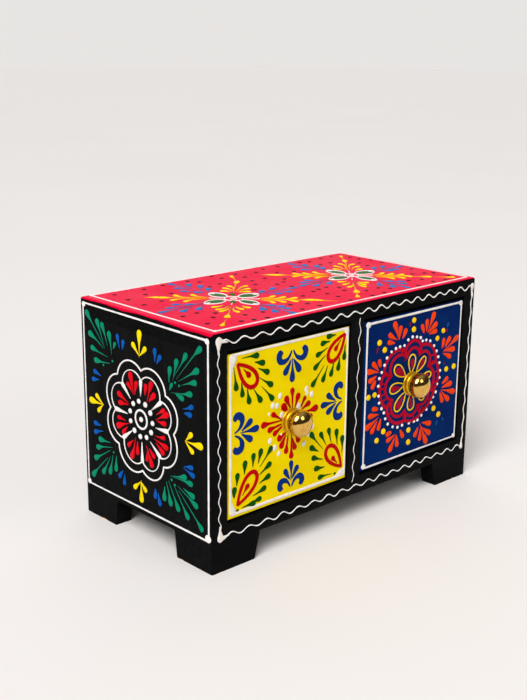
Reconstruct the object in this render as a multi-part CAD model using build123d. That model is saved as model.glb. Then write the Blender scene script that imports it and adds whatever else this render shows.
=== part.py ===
from build123d import *
import math
import os

# Small painted wooden box with two drawers side by side.
# Millimetres, +Z up, the fronts face -Y. The origin is on the floor, under the
# middle of the space that the box takes up with its knobs.

# The carcass
case_width = 165.0
case_depth = 88.0
case_height = 100.0
board = 8.0
back_thickness = 4.0
arris_radius = 1.0

# The feet: corner brackets of two legs, whose inner ends slope towards the floor
foot_height = 12.0
foot_width = 26.0
foot_depth = 24.0
foot_thickness = 8.0
foot_taper_x = 3.0
foot_taper_y = 1.5

# The drawers and their running clearances
drawer_side_gap = 0.7
drawer_top_gap = 1.2
front_lift = 1.2
front_inset = 0.4
stop_gap = 0.4
front_thickness = 8.0
front_arris_radius = 0.8
drawer_wall = 5.0
drawer_floor = 3.0
wall_drop = 3.0
lap_depth = 4.0

# The turned brass knobs, each held by a screw and a washer from inside
flange_diameter = 11.2
flange_thickness = 1.0
collar_diameter = 10.5
collar_thickness = 2.0
neck_inset = 0.05
neck_length = 0.2
ball_diameter = 11.6
ball_shoulder_radius = 3.1
dome_rise = 0.86
right_knob_shift_x = -1.9
right_knob_shift_z = 0.5
screw_diameter = 3.0
screw_bite = 5.0
screw_head_diameter = 5.5
screw_head_height = 1.8
screw_head_round = 0.9
driver_slot_width = 0.8
driver_slot_depth = 0.9
washer_diameter = 7.0
washer_thickness = 0.5
screw_clearance = 0.2

# The nails of the carcass and the panel pins of the drawers and the back
nail_diameter = 1.6
nail_head_diameter = 2.6
nail_head_height = 0.8
nail_bite = 14.0
foot_nail_cover = 3.0
pin_diameter = 1.2
pin_head_diameter = 2.0
pin_head_height = 0.5
pin_bite = 6.0
filler_depth = 0.8
pin_sink = 0.2
fastener_clearance = 0.05
nail_row_shares = (0.15, 0.5, 0.85)
pin_row_shares = (0.2, 0.8)
back_pin_shares = (0.15, 0.5, 0.85)

# How far a cutting shape runs past the face that it opens
overrun = 1.0

# Worked out from the sizes above
collar_x = (collar_diameter - collar_thickness) / 2
collar_top = flange_thickness + collar_thickness
neck_x = collar_x - neck_inset
shoulder_x = ball_diameter / 2 - ball_shoulder_radius
shoulder_start = math.acos((neck_x - shoulder_x) / ball_shoulder_radius)
ball_centre = collar_top + neck_length + ball_shoulder_radius * math.sin(shoulder_start)
ball_rise = ball_shoulder_radius + dome_rise
knob_reach = ball_centre + ball_rise
front_y = (knob_reach - front_inset - case_depth) / 2
rear_y = front_y + case_depth
panel_y = rear_y - back_thickness
left_x = -case_width / 2
right_x = case_width / 2
floor_z = foot_height + board
ceiling_z = case_height - board
divider_half = board / 2

LOW = (Align.CENTER, Align.CENTER, Align.MIN)


def block(x_span, y_span, z_span):
    """A square-edged board between two x, two y and two z limits."""
    lows = (x_span[0], y_span[0], z_span[0])
    sizes = (x_span[1] - x_span[0], y_span[1] - y_span[0], z_span[1] - z_span[0])
    corner = (Align.MIN, Align.MIN, Align.MIN)
    return Pos(*lows) * Box(*sizes, align=corner)


def aim(point, direction):
    """A place whose own +Z runs along a direction."""
    return Plane(origin=point, z_dir=direction).location


def nail(length, shank, head, head_height):
    """A flat-headed nail: head at its origin, point along +Z."""
    return Cylinder(shank / 2, length, align=LOW) + Cylinder(head / 2, head_height, align=LOW)


def nail_hole(length, shank, head, head_height, mouth):
    """The hole of such a nail, its pocket drawn out by mouth behind the head."""
    gap = fastener_clearance
    stem = Cylinder(shank / 2 + gap, length + gap, align=LOW)
    pocket = Cylinder(head / 2 + gap, mouth + head_height + gap, align=LOW)
    return stem + Pos(0, 0, -mouth) * pocket


def drive(places, length, sizes, mouth):
    """The nails at a list of (point, direction) places, and their holes."""
    nails = [aim(*place) * nail(length, *sizes) for place in places]
    holes = [aim(*place) * nail_hole(length, *sizes, mouth) for place in places]
    return nails, holes


def along(span, share):
    """The place at a share of the way from a span's start to its end."""
    return span[0] + (span[1] - span[0]) * share


nail_sizes = (nail_diameter, nail_head_diameter, nail_head_height)
pin_sizes = (pin_diameter, pin_head_diameter, pin_head_height)
depth_span = (front_y, rear_y)
width_span = (left_x, right_x)
post_span = (floor_z, ceiling_z)
nodes = {}

# Where the nails and pins of the carcass go. Filler hides their heads, except under the feet.
post_centres = (left_x + board / 2, 0, right_x - board / 2)
nail_spots = [(x, along((front_y, panel_y), share)) for x in post_centres for share in nail_row_shares]
nail_length = board - filler_depth + nail_bite
top_places = [((x, y, case_height - filler_depth), (0, 0, -1)) for x, y in nail_spots]
bottom_places = [((x, y, foot_height + filler_depth), (0, 0, 1)) for x, y in nail_spots]
top_nails, top_holes = drive(top_places, nail_length, nail_sizes, fastener_clearance)
bottom_nails, bottom_holes = drive(bottom_places, nail_length, nail_sizes, fastener_clearance)

pin_length = board - filler_depth + pin_bite
panel_mid_y = rear_y - back_thickness / 2
back_places = []
for share in back_pin_shares:
    height = along(post_span, share)
    back_places.append(((left_x + filler_depth, panel_mid_y, height), (1, 0, 0)))
    back_places.append(((right_x - filler_depth, panel_mid_y, height), (-1, 0, 0)))
back_pins, back_holes = drive(back_places, pin_length, pin_sizes, fastener_clearance)

foot_mid_x = case_width / 2 - (foot_width - foot_taper_x) / 2
foot_mid_y = foot_thickness / 2
foot_nail_length = foot_height - pin_sink + board - foot_nail_cover
foot_places = {}
for row, mid_y in (("front", front_y + foot_mid_y), ("rear", rear_y - foot_mid_y)):
    for hand, mid_x in (("left", -foot_mid_x), ("right", foot_mid_x)):
        foot_places[f"foot_{row}_{hand}"] = ((mid_x, mid_y, pin_sink), (0, 0, 1))
foot_nails, foot_holes = drive(foot_places.values(), foot_nail_length, nail_sizes, pin_sink + overrun)

# The carcass boards: top and bottom lie over the ends of the two sides and the divider
top_board = block(width_span, depth_span, (ceiling_z, case_height))
soft_edges = top_board.edges().group_by(Axis.Z)[-1] + top_board.edges().filter_by(Axis.Z)
nodes["top_board"] = fillet(soft_edges, arris_radius) - top_holes

bottom_board = block(width_span, depth_span, (foot_height, floor_z))
corner_edges = bottom_board.edges().filter_by(Axis.Z)
nodes["bottom_board"] = fillet(corner_edges, arris_radius) - bottom_holes - foot_holes

side_spans = {"left_side": (left_x, left_x + board), "right_side": (right_x - board, right_x)}
for name, span in side_spans.items():
    side = block(span, depth_span, post_span)
    upright_edges = side.edges().filter_by(Axis.Z).sort_by(Axis.X)
    outer_edges = upright_edges[:2] if name == "left_side" else upright_edges[-2:]
    nodes[name] = fillet(outer_edges, arris_radius) - top_holes - bottom_holes - back_holes

divider = block((-divider_half, divider_half), (front_y, panel_y), post_span)
nodes["centre_divider"] = divider - top_holes - bottom_holes
back = block((left_x + board, right_x - board), (panel_y, rear_y), post_span)
nodes["back_panel"] = back - back_holes


def make_foot(hand, row):
    """A corner bracket, flush with the carcass outside: one leg along x and one along y, with sloped ends."""
    x_out, x_in = hand * case_width / 2, -hand
    y_out, y_in = (front_y, 1) if row < 0 else (rear_y, -1)
    rings = []
    for height, width, depth in (
        (0, foot_width - foot_taper_x, foot_depth - foot_taper_y),
        (foot_height, foot_width, foot_depth),
    ):
        middle = (x_out + x_in * width / 2, y_out + y_in * depth / 2, height)
        rings.append(Pos(*middle) * Rectangle(width, depth))
    foot = loft(rings, ruled=True)
    corner = foot.edges().sort_by_distance((x_out, y_out, foot_height / 2))[0]
    hollow_x = sorted(x_out + x_in * reach for reach in (foot_thickness, foot_width + overrun))
    hollow_y = sorted(y_out + y_in * reach for reach in (foot_thickness, foot_depth + overrun))
    return fillet(corner, arris_radius) - block(hollow_x, hollow_y, (-overrun, foot_height + overrun))


for name in foot_places:
    foot = make_foot(-1 if name.endswith("left") else 1, -1 if "front" in name else 1)
    nodes[name] = foot - foot_holes

nodes["top_nails"] = Compound(top_nails)
nodes["bottom_nails"] = Compound(bottom_nails)
nodes["foot_nails"] = Compound(foot_nails)
nodes["back_pins"] = Compound(back_pins)


def make_knob():
    """A turned knob on its own +Z: thin flange, round collar, short neck and flattened ball, drilled below."""
    bore_x = screw_diameter / 2 + fastener_clearance
    bore_top = screw_bite + fastener_clearance
    flange_x = (flange_diameter - flange_thickness) / 2
    flange_bulge = (flange_diameter / 2, flange_thickness / 2)
    collar_bulge = (collar_diameter / 2, flange_thickness + collar_thickness / 2)
    neck_top = collar_top + neck_length
    foot_line = Line((bore_x, 0), (flange_x, 0))
    flange_rim = ThreePointArc((flange_x, 0), flange_bulge, (flange_x, flange_thickness))
    step = Line((flange_x, flange_thickness), (collar_x, flange_thickness))
    collar_rim = ThreePointArc((collar_x, flange_thickness), collar_bulge, (collar_x, collar_top))
    neck = Polyline((collar_x, collar_top), (neck_x, collar_top), (neck_x, neck_top))
    dome_drop = (shoulder_x**2 - dome_rise**2) / (2 * dome_rise)
    dome_start = math.degrees(math.atan2(dome_drop, shoulder_x))
    ball_start = -math.degrees(shoulder_start)
    shoulder = CenterArc(
        (shoulder_x, ball_centre), ball_shoulder_radius, ball_start, dome_start - ball_start
    )
    dome = CenterArc((0, ball_centre - dome_drop), ball_rise + dome_drop, dome_start, 90 - dome_start)
    bore = Polyline((0, knob_reach), (0, bore_top), (bore_x, bore_top), (bore_x, 0))
    outline = make_face([foot_line, flange_rim, step, collar_rim, neck, shoulder, dome, bore])
    return revolve(Plane.XZ * outline, Axis.Z)


def make_screw(length):
    """A pan-headed slotted screw: head's underside at its origin, point along +Z."""
    shank = Cylinder(screw_diameter / 2, length, align=LOW)
    head = Pos(0, 0, -screw_head_height) * Cylinder(screw_head_diameter / 2, screw_head_height, align=LOW)
    rim_edge = head.edges().sort_by(Axis.Z)[0]
    head = fillet(rim_edge, screw_head_round)
    slot = Box(screw_head_diameter + overrun, driver_slot_width, driver_slot_depth + overrun, align=LOW)
    slot_z = -screw_head_height - overrun
    return shank + head - Pos(0, 0, slot_z) * slot


def make_drawer(prefix, x_low, x_high, knob_shift_x=0, knob_shift_z=0):
    """All the pieces of one drawer, closed, between the two faces that guide it."""
    x_span = (x_low + drawer_side_gap, x_high - drawer_side_gap)
    face_y = front_y + front_inset
    front_back_y = face_y + front_thickness
    tail_y = panel_y - stop_gap
    front_top_z = ceiling_z - drawer_top_gap
    wall_z = (floor_z + drawer_floor, front_top_z - wall_drop)
    wall_y = (front_back_y - lap_depth, tail_y)
    walls = {
        "left_wall": (x_span[0], x_span[0] + drawer_wall),
        "right_wall": (x_span[1] - drawer_wall, x_span[1]),
    }
    inner_x = (walls["left_wall"][1], walls["right_wall"][0])
    knob_x = (x_low + x_high) / 2 + knob_shift_x
    knob_z = (floor_z + front_lift + front_top_z) / 2 + knob_shift_z
    pieces = {}

    # Panel pins: walls to front and back from the sides, floor to walls and back from below
    side_places = []
    lap_mid_y = front_back_y - lap_depth / 2
    tail_mid_y = tail_y - drawer_wall / 2
    for share in pin_row_shares:
        height = along(wall_z, share)
        for y in (lap_mid_y, tail_mid_y):
            side_places.append(((x_span[0] + pin_sink, y, height), (1, 0, 0)))
            side_places.append(((x_span[1] - pin_sink, y, height), (-1, 0, 0)))
    floor_places = []
    for share in nail_row_shares:
        y = along((front_back_y, tail_y - drawer_wall), share)
        for span in walls.values():
            floor_places.append((((span[0] + span[1]) / 2, y, floor_z + pin_sink), (0, 0, 1)))
    for share in pin_row_shares:
        floor_places.append(((along(inner_x, share), tail_mid_y, floor_z + pin_sink), (0, 0, 1)))
    mouth = pin_sink + overrun
    side_pins, side_holes = drive(side_places, drawer_wall - pin_sink + pin_bite, pin_sizes, mouth)
    floor_pins, floor_holes = drive(floor_places, drawer_floor - pin_sink + pin_bite, pin_sizes, mouth)

    # The front board, rebated at both ends for the walls and drilled for the knob's screw
    front = block(x_span, (face_y, front_back_y), (floor_z + front_lift, front_top_z))
    face_edges = front.edges().group_by(Axis.Y)[0]
    front = fillet(face_edges, front_arris_radius)
    for span in walls.values():
        front -= block(span, (front_back_y - lap_depth, front_back_y), wall_z)
    screw_axis = aim((knob_x, front_back_y, knob_z), (0, -1, 0))
    clear_radius = screw_diameter / 2 + screw_clearance
    front -= screw_axis * Cylinder(clear_radius, front_thickness + overrun, align=LOW)
    pieces["front"] = front - side_holes

    for name, span in walls.items():
        pieces[name] = block(span, wall_y, wall_z) - side_holes - floor_holes
    pieces["back"] = block(inner_x, (tail_y - drawer_wall, tail_y), wall_z) - side_holes - floor_holes
    pieces["floor"] = block(x_span, (front_back_y, tail_y), (floor_z, wall_z[0])) - floor_holes
    pieces["pins"] = Compound(side_pins + floor_pins)

    # The knob outside, and the screw and washer that hold it from inside
    screw_length = washer_thickness + front_thickness + screw_bite
    seat = aim((knob_x, front_back_y + washer_thickness, knob_z), (0, -1, 0))
    washer_ring = Circle(washer_diameter / 2) - Circle(clear_radius)
    pieces["knob"] = aim((knob_x, face_y, knob_z), (0, -1, 0)) * make_knob()
    pieces["knob_screw"] = seat * make_screw(screw_length)
    pieces["knob_washer"] = seat * extrude(washer_ring, washer_thickness)
    return {f"{prefix}_{name}": piece for name, piece in pieces.items()}


nodes.update(make_drawer("left_drawer", left_x + board, -divider_half))
right_shift = (right_knob_shift_x, right_knob_shift_z)
nodes.update(make_drawer("right_drawer", divider_half, right_x - board, *right_shift))

os.makedirs("parts", exist_ok=True)
for name, shape in nodes.items():
    export_step(shape, f"parts/{name}.step")
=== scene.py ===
import math

import bpy
import numpy as np
from mathutils import Matrix, Vector


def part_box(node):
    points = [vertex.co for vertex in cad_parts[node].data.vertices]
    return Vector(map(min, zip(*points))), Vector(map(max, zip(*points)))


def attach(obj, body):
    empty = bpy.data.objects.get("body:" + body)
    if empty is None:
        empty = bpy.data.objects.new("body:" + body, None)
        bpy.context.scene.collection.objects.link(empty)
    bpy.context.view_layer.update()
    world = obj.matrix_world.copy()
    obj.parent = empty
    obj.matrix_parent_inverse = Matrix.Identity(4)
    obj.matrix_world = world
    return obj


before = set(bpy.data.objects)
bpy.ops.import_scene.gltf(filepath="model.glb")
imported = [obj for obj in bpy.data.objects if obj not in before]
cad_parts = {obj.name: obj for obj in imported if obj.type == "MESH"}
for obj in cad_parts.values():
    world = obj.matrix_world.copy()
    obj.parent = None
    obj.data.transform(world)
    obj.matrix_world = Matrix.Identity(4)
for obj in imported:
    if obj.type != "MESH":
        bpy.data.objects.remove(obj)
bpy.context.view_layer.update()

# Carcass boards and feet: thin softwood, nailed together, then brushed black outside.
# The paint runs a few millimetres into the two openings and stops in a ragged line,
# and it has rubbed through to the wood in places under the feet.
MM = 0.001
case_low = Vector((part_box("left_side")[0][0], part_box("top_board")[0][1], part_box("foot_front_left")[0][2]))
case_high = Vector(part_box("top_board")[1])
bay_low = Vector((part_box("left_side")[1][0], case_low[1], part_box("bottom_board")[1][2]))
bay_high = Vector((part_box("right_side")[0][0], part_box("back_panel")[0][1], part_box("top_board")[0][2]))


def display(red, green, blue):
    """A colour given by its 0 to 255 display values, as the linear values that a shader takes."""
    shares = np.array([red, green, blue]) / 255
    linear = np.where(shares <= 0.04045, shares / 12.92, ((shares + 0.055) / 1.055) ** 2.4)
    return (*linear.tolist(), 1.0)


def add(tree, kind, sockets=None, **settings):
    """One node of a tree with its settings; a socket takes a value or a link from another output."""
    node = tree.nodes.new(kind)
    for key, value in settings.items():
        setattr(node, key, value)
    for key, value in (sockets or {}).items():
        if isinstance(value, bpy.types.NodeSocket):
            tree.links.new(value, node.inputs[key])
        else:
            node.inputs[key].default_value = value
    return node


def math_node(tree, operation, first, second=0.0):
    """The output of one sum worked out on two values or sockets."""
    return add(tree, "ShaderNodeMath", {0: first, 1: second}, operation=operation).outputs[0]


def vector_node(tree, operation, first, second):
    """The output of one sum worked out on two places, part by part."""
    return add(tree, "ShaderNodeVectorMath", {0: first, 1: second}, operation=operation).outputs[0]


def parts_of(tree, place):
    """A place taken apart into its three outputs: across, inwards and up."""
    return add(tree, "ShaderNodeSeparateXYZ", {0: place}).outputs


def spread(tree, value, low, high, to_low=0.0, to_high=1.0):
    """A value carried evenly from one span to another and held at the ends."""
    sockets = {"Value": value, "From Min": low, "From Max": high, "To Min": to_low, "To Max": to_high}
    return add(tree, "ShaderNodeMapRange", sockets).outputs[0]


def noise(tree, place, scale, detail=2.0):
    """Smooth noise about one half over a place, with so many bumps to the metre."""
    sockets = {"Vector": place, "Scale": scale, "Detail": detail}
    return add(tree, "ShaderNodeTexNoise", sockets).outputs["Fac"]


def mix_colour(tree, share, first, second):
    """The first colour going over to the second as the share goes from 0 to 1."""
    return add(tree, "ShaderNodeMix", {0: share, 6: first, 7: second}, data_type="RGBA").outputs[2]


def start_group(name, inputs, outputs):
    """An empty node group with its named sockets, and its two end nodes."""
    group = bpy.data.node_groups.new(name, "ShaderNodeTree")
    for label, kind in inputs:
        group.interface.new_socket(label, in_out="INPUT", socket_type=kind)
    for label, kind in outputs:
        group.interface.new_socket(label, in_out="OUTPUT", socket_type=kind)
    return group, group.nodes.new("NodeGroupInput").outputs, group.nodes.new("NodeGroupOutput").inputs


def place_group(tree, group, sockets):
    """A group placed in a material with its own values."""
    return add(tree, "ShaderNodeGroup", sockets, node_tree=group).outputs


VALUE = "NodeSocketFloat"
COLOUR = "NodeSocketColor"
PLACE = "NodeSocketVector"
noise_span = (0.3, 0.7)

# How deep a place lies within a box: its least distance to the six faces.
box_depth, given, gives = start_group(
    "box_depth", [("Place", PLACE), ("Low", PLACE), ("High", PLACE)], [("Nearest", VALUE)]
)
from_low = vector_node(box_depth, "SUBTRACT", given["Place"], given["Low"])
from_high = vector_node(box_depth, "SUBTRACT", given["High"], given["Place"])
depths = parts_of(box_depth, vector_node(box_depth, "MINIMUM", from_low, from_high))
lesser = math_node(box_depth, "MINIMUM", depths[0], depths[1])
box_depth.links.new(math_node(box_depth, "MINIMUM", lesser, depths[2]), gives["Nearest"])

# Brushed paint: faint streaks along the strokes, thinner colour in some of them, and a fine orange peel.
peel_bumps = 900.0
peel_share = 0.35
blotch_bumps = 45.0
gloss_spread = 0.07
brushed_paint, given, gives = start_group(
    "brushed_paint",
    [("Place", PLACE), ("Streaks", PLACE), ("Colour", COLOUR), ("Thin Colour", COLOUR), ("Gloss", VALUE)],
    [("Colour", COLOUR), ("Roughness", VALUE), ("Height", VALUE)],
)
brushed_out = vector_node(brushed_paint, "MULTIPLY", given["Place"], given["Streaks"])
streaks = noise(brushed_paint, brushed_out, 1.0, 3.0)
peel = noise(brushed_paint, given["Place"], peel_bumps)
blotches = noise(brushed_paint, given["Place"], blotch_bumps, 3.0)
thin_streaks = spread(brushed_paint, streaks, 0.42, 0.75)
thin_blotches = spread(brushed_paint, blotches, 0.3, 0.6, 0.3)
thinness = math_node(brushed_paint, "MULTIPLY", thin_streaks, thin_blotches)
thinned = mix_colour(brushed_paint, thinness, given["Colour"], given["Thin Colour"])
brushed_paint.links.new(thinned, gives["Colour"])
uneven = spread(brushed_paint, blotches, *noise_span, -gloss_spread, gloss_spread)
brushed_paint.links.new(math_node(brushed_paint, "ADD", given["Gloss"], uneven), gives["Roughness"])
faint_peel = math_node(brushed_paint, "MULTIPLY", peel, peel_share)
ridges = math_node(brushed_paint, "ADD", streaks, faint_peel)
brushed_paint.links.new(ridges, gives["Height"])

# Bare softwood: growth rings drawn out along the grain, with fine dark fibres between them.
ring_bands = 9.0
fibre_bumps = 9.0
early_wood = display(214, 176, 128)
late_wood = display(190, 146, 98)
fibre_brown = display(158, 114, 70)
bare_wood, given, gives = start_group(
    "bare_wood", [("Place", PLACE), ("Grain", PLACE)], [("Colour", COLOUR), ("Height", VALUE)]
)
drawn_out = vector_node(bare_wood, "MULTIPLY", given["Place"], given["Grain"])
rings = noise(bare_wood, drawn_out, 1.0, 2.0)
fibres = noise(bare_wood, drawn_out, fibre_bumps, 4.0)
bands = math_node(bare_wood, "PINGPONG", math_node(bare_wood, "MULTIPLY", rings, ring_bands), 1.0)
pale_wood = mix_colour(bare_wood, bands, early_wood, late_wood)
fibre_share = spread(bare_wood, fibres, 0.5, 0.75)
bare_wood.links.new(mix_colour(bare_wood, fibre_share, pale_wood, fibre_brown), gives["Colour"])
bare_wood.links.new(math_node(bare_wood, "SUBTRACT", bands, fibre_share), gives["Height"])


def new_material(name, roughness, specular):
    """A material with its Principled shader and the piece's own coordinates."""
    material = bpy.data.materials.new(name)
    material.use_nodes = True
    tree = material.node_tree
    shader = tree.nodes["Principled BSDF"]
    shader.inputs["Roughness"].default_value = roughness
    shader.inputs["Specular IOR Level"].default_value = specular
    return material, tree, shader, add(tree, "ShaderNodeTexCoord").outputs["Object"]


def give_bump(tree, shader, height, distance, strength):
    """A bump on the shader's normal, so deep in metres."""
    sockets = {"Height": height, "Distance": distance, "Strength": strength}
    tree.links.new(add(tree, "ShaderNodeBump", sockets).outputs[0], shader.inputs["Normal"])


wear_height = 0.5 * MM
wear_bumps = 210.0
ragged_bumps = 160.0
bare_fade = 0.3 * MM
bare_roughness = 0.7
coat_depth = 0.1 * MM
coat_strength = 0.3


def coated_wood(name, coat, thin_coat, streaks, grain, bare_span, gloss, specular, ragged):
    """Painted wood. It is bare within the box bare_span, whose near side is ragged, and it is rubbed
    through where noise is high and the floor is nearer than the wear height."""
    material, tree, shader, place = new_material(name, gloss, specular)
    sockets = {"Place": place, "Streaks": streaks, "Colour": coat, "Thin Colour": thin_coat, "Gloss": gloss}
    brushed = place_group(tree, brushed_paint, sockets)
    wood = place_group(tree, bare_wood, {"Place": place, "Grain": grain})
    waver = spread(tree, noise(tree, place, ragged_bumps, 3.0), *noise_span, -ragged, ragged)
    wavered = add(tree, "ShaderNodeCombineXYZ", {1: waver}).outputs[0]
    shaken = vector_node(tree, "ADD", place, wavered)
    inside = place_group(tree, box_depth, {"Place": shaken, "Low": bare_span[0], "High": bare_span[1]})
    chance = spread(tree, noise(tree, place, wear_bumps, 4.0), 0.54, 0.72)
    lowness = spread(tree, parts_of(tree, place)[2], 0.0, wear_height, 1.0, 0.0)
    rubbed = spread(tree, math_node(tree, "MULTIPLY", chance, lowness), 0.25, 0.45)
    bare = math_node(tree, "MAXIMUM", spread(tree, inside["Nearest"], 0.0, bare_fade), rubbed)
    tree.links.new(mix_colour(tree, bare, brushed["Colour"], wood["Colour"]), shader.inputs["Base Color"])
    shine = spread(tree, bare, 0.0, 1.0, brushed["Roughness"], bare_roughness)
    tree.links.new(shine, shader.inputs["Roughness"])
    give_bump(tree, shader, brushed["Height"], coat_depth, coat_strength)
    return material, tree, shader, place


def dress(material, *names):
    """Gives CAD nodes their finish."""
    for name in names:
        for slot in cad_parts[name].material_slots:
            slot.material = material


paint_lip = 7 * MM
skin = 0.05 * MM
black = display(9, 10, 11)
thin_black = display(20, 21, 22)
bay_span = (
    bay_low + Vector((-skin, paint_lip, -skin)),
    bay_high + Vector((skin, skin, skin)),
)
upright_board = dict(streaks=(220, 420, 26), grain=(300, 300, 12))
level_board = dict(streaks=(26, 420, 420), grain=(12, 300, 300))
black_coat = dict(coat=black, thin_coat=thin_black, bare_span=bay_span, ragged=2.5 * MM)
black_shine = dict(gloss=0.5, specular=0.02)
upright_black = coated_wood("black_paint_upright", **upright_board, **black_coat, **black_shine)[0]
level_black = coated_wood("black_paint_level", **level_board, **black_coat, **black_shine)[0]
dress(upright_black, "left_side", "right_side", "centre_divider", "back_panel")
dress(level_black, "bottom_board")
dress(level_black, *[f"foot_{row}_{hand}" for row in ("front", "rear") for hand in ("left", "right")])

# Top board: the same black board, whose upper face is brushed over in a strong pink red.
# The pink laps a little over the arris at the two ends, where it is a darker red as painted shade, and stops on
# the arris along the front.
pink = display(246, 22, 70)
deep_pink = display(240, 14, 62)
shaded_end_pink = display(212, 4, 46)
pink_streaks = (30, 260, 260)
end_lap = 0.95 * MM
front_lap = 0.3 * MM
lap_waver = 0.45 * MM
lap_bumps = 42.0
lap_fade = 0.15 * MM
top_shine = dict(gloss=0.3, specular=0.008)
top_finish, tree, shader, place = coated_wood("pink_top", **level_board, **black_coat, **top_shine)
sockets = {"Place": place, "Streaks": pink_streaks, "Colour": pink, "Thin Colour": deep_pink}
pink_coat = place_group(tree, brushed_paint, sockets)
parts = parts_of(tree, place)
end_share = spread(tree, math_node(tree, "ABSOLUTE", parts[0]), case_high[0] - MM, case_high[0])
wander = spread(tree, noise(tree, place, lap_bumps, 3.0), 0.35, 0.65, -lap_waver, lap_waver)
waver = math_node(tree, "MULTIPLY", end_share, wander)
lap = math_node(tree, "ADD", spread(tree, end_share, 0.0, 1.0, front_lap, end_lap), waver)
above = math_node(tree, "ADD", math_node(tree, "SUBTRACT", parts[2], case_high[2]), lap)
pink_share = spread(tree, above, 0.0, lap_fade)
painted = shader.inputs["Base Color"].links[0].from_socket
# Painted shade: the pink on and near the two end faces goes over to a darker red.
pooled_and_end_shade = mix_colour(tree, end_share, pink_coat["Colour"], shaded_end_pink)
tree.links.new(mix_colour(tree, pink_share, painted, pooled_and_end_shade), shader.inputs["Base Color"])
dress(top_finish, "top_board")

# Nails and pins of the carcass: drawn steel wire, dulled, with heads sunk in the wood.
# The screws and washers of the knobs have the same finish, a little brighter.
patch_bumps = 380.0
mark_strength = 0.25


def metal(name, colour, dull_colour, roughness, rough_spread, stretch, depth):
    """Metal whose colour and shine vary in soft patches. Its fine marks are drawn out by stretch, and they
    are so deep in metres."""
    material, tree, shader, place = new_material(name, roughness, specular=0.5)
    shader.inputs["Metallic"].default_value = 1.0
    patches = noise(tree, place, patch_bumps, 3.0)
    marks = noise(tree, vector_node(tree, "MULTIPLY", place, stretch), 1.0, 3.0)
    dulled = spread(tree, patches, 0.45, 0.75)
    tree.links.new(mix_colour(tree, dulled, colour, dull_colour), shader.inputs["Base Color"])
    uneven = spread(tree, patches, *noise_span, roughness - rough_spread, roughness + rough_spread)
    tree.links.new(uneven, shader.inputs["Roughness"])
    give_bump(tree, shader, marks, depth, mark_strength)
    return material, tree, shader, place


wire_grey = display(150, 150, 152)
wire_brown = display(96, 90, 84)
screw_grey = display(196, 196, 198)
screw_shade = display(150, 148, 146)
steel_depth = 0.03 * MM
nail_marks = dict(roughness=0.42, rough_spread=0.1, stretch=(900, 900, 200), depth=steel_depth)
screw_marks = dict(roughness=0.3, rough_spread=0.08, stretch=(2200, 300, 2200), depth=steel_depth)
nail_steel = metal("nail_steel", wire_grey, wire_brown, **nail_marks)[0]
screw_steel = metal("screw_steel", screw_grey, screw_shade, **screw_marks)[0]
dress(nail_steel, "top_nails", "bottom_nails", "foot_nails", "back_pins")

# Drawer boxes: bare softwood boards, pinned together, with the grain along each board.
# Walls and back stand on the thin floor; nothing inside is painted.
grain_depth = 0.08 * MM
grain_strength = 0.4
lengthwise_grain = (170, 9, 170)
crosswise_grain = (9, 170, 170)


def plain_wood(name, grain):
    """Unfinished board with its grain along the axis whose frequency is least."""
    material, tree, shader, place = new_material(name, roughness=0.65, specular=0.25)
    wood = place_group(tree, bare_wood, {"Place": place, "Grain": grain})
    tree.links.new(wood["Colour"], shader.inputs["Base Color"])
    uneven = spread(tree, wood["Height"], -1.0, 1.0, to_low=0.6, to_high=0.75)
    tree.links.new(uneven, shader.inputs["Roughness"])
    give_bump(tree, shader, wood["Height"], grain_depth, grain_strength)
    return material


lengthwise_wood = plain_wood("wood_along_drawer", lengthwise_grain)
crosswise_wood = plain_wood("wood_across_drawer", crosswise_grain)
drawers = ("left_drawer", "right_drawer")
for drawer in drawers:
    dress(lengthwise_wood, f"{drawer}_left_wall", f"{drawer}_right_wall", f"{drawer}_floor")
    dress(crosswise_wood, f"{drawer}_back")
    dress(nail_steel, f"{drawer}_pins")

# Drawer fronts: one brushed yellow and one brushed deep blue, over the face and round its edges.
# The paint stops in a ragged line short of the back, which is bare wood, and the top edge
# under the frame is coloured black.
edge_paint = 5.5 * MM
black_top_band = 0.5 * MM
black_top_fade = 0.2 * MM
front_streaks = (40, 120, 120)
front_finish = dict(gloss=0.42, specular=0.012, ragged=1.2 * MM)
front_colours = {
    "left_drawer": (display(238, 211, 0), display(230, 200, 0)),
    "right_drawer": (display(0, 31, 88), display(0, 46, 104)),
}
for drawer, (coat, thin_coat) in front_colours.items():
    front_low = Vector(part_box(f"{drawer}_front")[0])
    front_high = Vector(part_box(f"{drawer}_front")[1])
    bare_span = (front_low + Vector((-MM, edge_paint, -MM)), front_high + Vector((MM, MM, MM)))
    finish, tree, shader, place = coated_wood(
        f"{drawer}_paint", coat, thin_coat, front_streaks, crosswise_grain, bare_span, **front_finish
    )
    black_from = front_high[2] - black_top_band
    black_share = spread(tree, parts_of(tree, place)[2], black_from, black_from + black_top_fade)
    painted = shader.inputs["Base Color"].links[0].from_socket
    tree.links.new(mix_colour(tree, black_share, painted, black), shader.inputs["Base Color"])
    dress(finish, f"{drawer}_front")
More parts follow.
